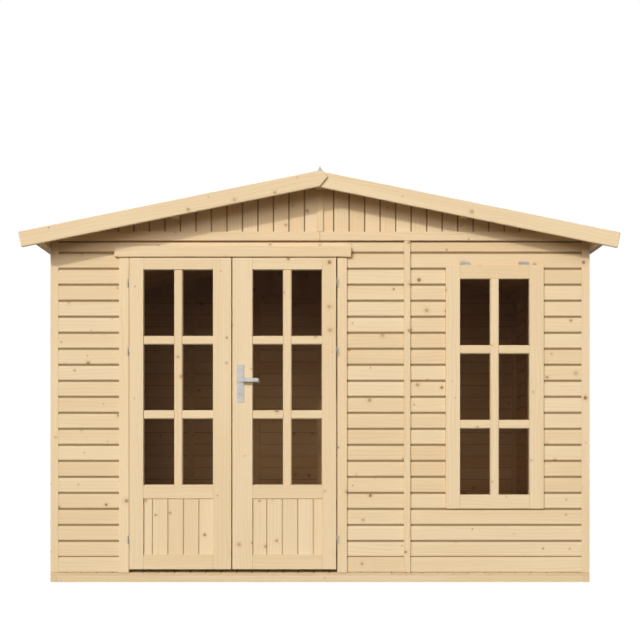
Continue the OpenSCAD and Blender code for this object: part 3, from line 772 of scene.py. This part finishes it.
def panes(x0, x1, z0, z1):
    """The six panes between the bars, as (left, right, foot, top)."""
    mid, w = (x0 + x1) / 2, BAR_W / 2
    high = (z1 - z0 - 2 * BAR_W) / 3
    feet = [z0 + i * (high + BAR_W) for i in range(3)]
    return [(a, b, z, z + high) for z in feet for a, b in ((x0, mid - w), (mid + w, x1))]


def stiles_and_rails(piece, lo, hi, x0, x1, back, rails):
    """Upright stiles either side of x0 to x1, as deep as back, and rails between them."""
    for a, b in ((lo[0], x0 - FLUSH), (x1 + FLUSH, hi[0])):
        piece.timber(a, b, lo[1], back, lo[2], hi[2], "z")
    for a, b in rails:
        piece.timber(x0, x1, lo[1] + SKIN, hi[1] - SKIN, a, b, "x")


def door_leaf(side):
    body = side + "_door"
    lo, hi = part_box(side + "_door_frame")
    glo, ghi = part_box(side + "_door_glass")
    plo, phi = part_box(side + "_door_panel")
    x0, x1, z0, z1 = glo[0] + REACH, ghi[0] - REACH, glo[2] + REACH, ghi[2] - REACH
    p0, p1 = plo[2] + REACH, phi[2] - REACH
    piece = Piece(body + "_timbers", MAT_FRAME, body, side + "_door_frame", bevel=0.0022)
    stiles_and_rails(piece, lo, hi, x0, x1, hi[1], ((lo[2], p0), (p1, z0), (z1, hi[2])))
    lights(piece, x0, x1, z0, z1, glo[1] - BAR_PROUD, glo[1] - SKIN, ghi[1] + SKIN, hi[1] - 0.002)
    piece.build()

    trim = Piece(body + "_mouldings", MAT_FRAME, body)
    for cell in panes(x0, x1, z0, z1):
        moulding(trim, *cell, glo[1])
    moulding(trim, x0, x1, p0, p1, plo[1])
    trim.build()

    panel = Piece(body + "_panel_boards", MAT_BOARD, body, side + "_door_panel", "spruce_boards")
    edges = [plo[0]]
    edge = x0 + FIRST_PANEL_BOARD[side]
    while edge < phi[0] - 0.02:
        edges.append(edge)
        edge += GABLE_PITCH - SEAM
    edges.append(phi[0])
    for a, b in zip(edges, edges[1:]):
        # the sloped edges between the boards are darkened with painted shade, lighter than in the walls
        ring = planed(a + SEAM, b - SEAM, plo[0], phi[0], plo[1], phi[1], 0.0032)
        panel.prism([(p, q, plo[2]) for p, q in ring], [(p, q, phi[2]) for p, q in ring], Z, X,
                    dark=(2, 4), joint_shade=1.5)
    panel.build()


def moulding(piece, x0, x1, z0, z1, y, size=0.0022):
    """A mitred bead of triangular section round an opening, against what fills it at y."""
    s = size
    outer = [(x0, z0), (x1, z0), (x1, z1), (x0, z1)]
    inner = [(x0 + s, z0 + s), (x1 - s, z0 + s), (x1 - s, z1 - s), (x0 + s, z1 - s)]
    for i in range(4):
        j = (i + 1) % 4
        along = X if i % 2 == 0 else Z
        across = Z if i % 2 == 0 else X
        ends = [[(outer[k][0], y - SKIN, outer[k][1]), (outer[k][0], y - s, outer[k][1]),
                 (inner[k][0], y - SKIN, inner[k][1])] for k in (i, j)]
        piece.prism(ends[0], ends[1], along, across)


door_leaf("left")
door_leaf("right")

sash = Piece("window_sash_timbers", MAT_FRAME, node="window_sash", bevel=0.003)
x0, x1, z0, z1 = wgl_lo[0] + REACH, wgl_hi[0] - REACH, wgl_lo[2] + REACH, wgl_hi[2] - REACH
stiles_and_rails(sash, sash_lo, sash_hi, x0, x1, sash_hi[1] - SKIN, ((sash_lo[2], z0), (z1, sash_hi[2])))
lights(sash, x0, x1, z0, z1, wgl_lo[1] - BAR_PROUD, wgl_lo[1] - SKIN, wgl_hi[1] + SKIN, wgl_hi[1] + 0.012)
sash.build()
trim = Piece("window_mouldings", MAT_FRAME)
for cell in panes(x0, x1, z0, z1):
    moulding(trim, *cell, wgl_lo[1])
trim.build()

frame_wood = Piece("door_frame_timbers", MAT_FRAME, node=["door_jambs", "door_lintel"], bevel=0.0025)
for a, b in ((JAMB_L, JAMB_L + JAMB_W), (JAMB_R - JAMB_W, JAMB_R)):
    frame_wood.timber(a, b, jamb_lo[1], jamb_hi[1], FLOOR_Z, jamb_hi[2], "z")
frame_wood.timber(JAMB_L, JAMB_R, -HALF_D, lint_hi[1], lint_lo[2], lint_hi[2], "x")
frame_wood.timber(lint_lo[0], lint_hi[0], lint_lo[1], -HALF_D - FLUSH, lint_lo[2], lint_hi[2], "x")
frame_wood.build()

# ---------------------------------------------------------------- roof timbers and boards


def slope_point(side, s, y, h):
    """A point on a slope: s down from the ridge, h square above the underside of the boards."""
    return (side * (s * COS + h * SIN), side * y, RIDGE_Z - s * SIN + h * COS)


def ridge_cut(h):
    return -h * SIN / COS


purlin_wood = Piece("purlin_timbers", MAT_FRAME, node="purlins", bevel=0.002)
for c in (-PURLIN_X, 0.0, PURLIN_X):
    foot = soffit(c) - PURLIN_H
    a, b = c - PURLIN_W / 2, c + PURLIN_W / 2
    ring = [(a, foot), (b, foot), (b, soffit(b) - ROOF_SKIN), (a, soffit(a) - ROOF_SKIN)]
    if c == 0:
        ring.insert(3, (0, RIDGE_Z - ROOF_SKIN))
    purlin_wood.prism([(p, -VERGE_NEAR, q) for p, q in ring], [(p, VERGE_NEAR, q) for p, q in ring], Y, X)
purlin_wood.build()

eave = Piece("eave_batten_timbers", MAT_FRAME, node="eave_battens", bevel=0.002)
eb_lo, eb_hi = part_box("eave_battens")
for s in (-1, 1):
    near, far = HALF_W + SKIN, eb_hi[0]
    ring = [(s * near, eb_lo[2]), (s * far, eb_lo[2]), (s * far, soffit(far) - ROOF_SKIN),
            (s * near, WALL_TOP - ROOF_SKIN)]
    eave.prism([(p, -VERGE_NEAR, q) for p, q in ring], [(p, VERGE_NEAR, q) for p, q in ring], Y, X)
eave.build()

EAVE = 0.085            # how far the roof boards pass the walls
DECK_LEN = (HALF_W + EAVE) / COS
DECK_BOARD = 0.0955
for side, name in ((1, "right"), (-1, "left")):
    deck = Piece("roof_board_planks_" + name, MAT_BOARD, node="roof_deck_" + name, slot="spruce_boards")
    along = Vector((side * COS, 0, -SIN))
    y = -VERGE_NEAR
    while y < VERGE_FAR - LAST_BOARD:
        y1 = min(y + DECK_BOARD, VERGE_FAR)
        ring = planed(y + SEAM, y1 - SEAM, -VERGE_NEAR, VERGE_FAR, 0.0, DECK_T, 0.003)
        r0 = [slope_point(side, ridge_cut(q) + 2 * SKIN, p, q) for p, q in ring]
        r1 = [slope_point(side, DECK_LEN, p, q) for p, q in ring]
        deck.prism(r0, r1, along, Y)
        y = y1
    deck.build()

# ---------------------------------------------------------------- shingles

TAB, TAB_FOOT, TAB_HEAD, SHEET = 0.3333, 0.088, 0.237, 0.0028
SLAB_LEN = DECK_LEN + 0.010
LAP_RISE = 0.0045       # how much the course below lifts a tab's foot
INSET = 0.001           # of the shingles behind the verge


def shingle_course(piece, side, foot, row):
    """One strip of tabs whose feet lie foot down the slope. It rests on the course below."""
    head = max(foot - 2 * COURSE - 0.03, TINY)
    mid = foot - COURSE
    shift = (row % 2) * TAB / 2 + rng.uniform(-0.002, 0.002)
    y_from, y_to = -VERGE_NEAR + INSET, VERGE_FAR - INSET

    def height(s):
        return DECK_T + SEAM + LAP_RISE * (s - head) / (foot - head)

    start = -VERGE_NEAR - 2 * TAB + shift
    tint = rng.random()
    while start < y_to:
        c = start + TAB / 2
        line = [(start, mid), (c - TAB_HEAD / 2, mid), (c - TAB_FOOT / 2, foot), (c + TAB_FOOT / 2, foot),
                (c + TAB_HEAD / 2, mid), (start + TAB, mid), (start + TAB, head), (start, head)]
        start += TAB
        line = clip(clip(line, y_from, True), y_to, False)
        if len(line) < 3:
            continue
        offset = Vector((rng.uniform(0, 9), 0, 0))
        base, k = len(piece.v), len(line)
        t = min(1.0, max(0.0, tint * 0.4 + rng.random() * 0.6))
        for lift in (0.0, SHEET):
            for yy, s in line:
                piece.v.append(Vector(slope_point(side, s, yy, height(s) + lift)))
                piece.grain.append((yy + offset.x, foot - s, lift))
                piece.tint.append(t)
        for i in range(k):
            j = (i + 1) % k
            piece.f.append((base + i, base + j, base + k + j, base + k + i))
            piece.end.append(1.0)
        piece.f.append(tuple(base + i for i in reversed(range(k))))
        piece.f.append(tuple(base + k + i for i in range(k)))
        piece.end += [0.0, 0.0]


def clip(line, edge, keep_above):
    """A polygon of (y, s) cut at y = edge."""
    out = []
    for i, p in enumerate(line):
        q = line[(i + 1) % len(line)]
        p_in = (p[0] >= edge) == keep_above
        q_in = (q[0] >= edge) == keep_above
        if p_in:
            out.append(p)
        if p_in != q_in:
            f = (edge - p[0]) / (q[0] - p[0])
            out.append((edge, p[1] + f * (q[1] - p[1])))
    return out


for side, name in ((1, "right"), (-1, "left")):
    roof = Piece("shingle_courses_" + name, MAT_SHINGLE, node="shingles_" + name, slot="bitumen_shingles")
    foot, row = SLAB_LEN, 0
    while foot > 0.10:
        shingle_course(roof, side, foot, row)
        foot -= COURSE
        row += 1
    # a starter strip under the first tabs closes the edge at the eave
    ring = [(-VERGE_NEAR + INSET, DECK_T + 0.0002), (VERGE_FAR - INSET, DECK_T + 0.0002),
            (VERGE_FAR - INSET, DECK_T + 0.0024), (-VERGE_NEAR + INSET, DECK_T + 0.0024)]
    r0, r1 = ([slope_point(side, SLAB_LEN - up, p, q) for p, q in ring] for up in (0.16, 0.002))
    roof.prism(r0, r1, Vector((side * COS, 0, -SIN)), Y, offset=Vector((0, 0, 0)))
    roof.build()

cap = Piece("ridge_cap_shingles", MAT_SHINGLE, node="ridge_cap", slot="bitumen_shingles")
CAP_EXPOSED, CAP_LONG = 0.160, 0.250
cap_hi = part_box("ridge_cap")[1]
CAP_HALF, PEAK = cap_hi[0], cap_hi[2]
FOLD = 0.012            # half the width of the raised fold
CAP_LIFT = 0.0098       # of the lapped end of a cap piece over the boards
y = -VERGE_NEAR + INSET
while y < VERGE_NEAR - 0.02:
    y1 = min(y + CAP_LONG, VERGE_NEAR - INSET)
    peak = PEAK - 0.006 - rng.uniform(0.0, 0.002)
    ends = []
    for yy, rise in ((y, CAP_LIFT), (y1, 0.0062)):
        base = RIDGE_Z + (DECK_T + rise) / COS
        drop = CAP_LIFT - rise
        half = [(CAP_HALF, base - CAP_HALF * SLOPE), (0.060, base - 0.058 * SLOPE + 0.0005),
                (FOLD * 1.6, base - FOLD * SLOPE + 0.003), (FOLD * 0.75, base + 0.010 - drop),
                (FOLD * 0.25, base + (peak - base) * 0.72)]
        line = [(-p, q) for p, q in half] + [(0.0, peak - drop)] + half[::-1]
        under = [(p * 0.98, q - 0.0030) for p, q in reversed(line)]
        ends.append([(p, yy, q) for p, q in line + under])
    cap.prism(ends[0], ends[1], Y, X, offset=Vector((rng.uniform(0, 9), 0.05, 0)))
    for i in (-1, -2):
        cap.end[i] = 0.6
    y += CAP_EXPOSED
cap.build()

strip = Piece("ridge_fold_strip", MAT_STRIP, slot="zinc_steel", bevel=0.0012)
foot_z = RIDGE_Z + (DECK_T + CAP_LIFT) / COS
ring = [(-0.0165, foot_z + 0.002), (0.0165, foot_z + 0.002), (0.0125, foot_z + 0.0075),
        (0.0035, PEAK - 0.003), (0.0, PEAK - 0.0002), (-0.0035, PEAK - 0.003), (-0.0125, foot_z + 0.0075)]
STRIPS, STRIP_GAP = 3, 0.0008
strip_long = (2 * VERGE_NEAR - 2 * INSET) / STRIPS
for i in range(STRIPS):
    a = -VERGE_NEAR + INSET + i * strip_long
    b = a + strip_long - STRIP_GAP
    strip.prism([(p, a, q) for p, q in ring], [(p, b, q) for p, q in ring], Y, X)
strip.build()

# ---------------------------------------------------------------- bargeboards

BARGE_TOP = plain_hi[2]
BARGE_X = plain_hi[0]
BARGE_H = (BARGE_TOP - BARGE_X * SLOPE - plain_lo[2]) / COS
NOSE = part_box("bargeboard_front_left")[1][0]


def bargeboard(name, node, side, lapped):
    """side is the slope it closes. The lapped one of a pair has a nose over the other's end."""
    piece = Piece(name, MAT_FRAME, node=node, bevel=0.0055)
    z1 = BARGE_TOP - BARGE_X * SLOPE
    line = [(0, BARGE_TOP - FLUSH), (BARGE_X, z1), (BARGE_X - BARGE_H * SIN, z1 - BARGE_H * COS),
            (0, BARGE_TOP - BARGE_H / COS)]
    if lapped:
        line += [(-NOSE, BARGE_TOP - 0.034), (-NOSE / 2, BARGE_TOP - NOSE * SLOPE / 2)]
    lo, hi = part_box(node)
    r0 = [(side * p, lo[1] + SKIN, q) for p, q in line]
    r1 = [(side * p, hi[1], q) for p, q in line]
    piece.prism(r0, r1, Vector((side * COS, 0, -SIN)), Vector((side * SIN, 0, COS)))
    piece.build()


bargeboard("barge_front_right", "bargeboard_front_right", 1, False)
bargeboard("barge_front_left", "bargeboard_front_left", -1, True)
bargeboard("barge_back_right", "bargeboard_back_right", 1, True)
bargeboard("barge_back_left", "bargeboard_back_left", -1, False)

# ---------------------------------------------------------------- kept CAD nodes


def dress(node, mat, bevel=0.0):
    """Give a CAD piece that stays in view its material, and ease its edges by a modifier."""
    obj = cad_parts[node]
    obj.data.materials.clear()
    obj.data.materials.append(mat)
    if bevel:
        weld = obj.modifiers.new("weld", "WELD")
        weld.merge_threshold = 0.00002
        ease(obj, bevel, 3, 40)


for node in ("left_door_glass", "right_door_glass", "window_glass"):
    dress(node, MAT_GLASS)
for node in ("left_door_hinges", "right_door_hinges", "jamb_hinges", "window_hinges"):
    dress(node, MAT_ZINC, 0.0006)
dress("handle_plates", MAT_ALU, 0.0018)
dress("lever_handle", MAT_ALU, 0.0030)
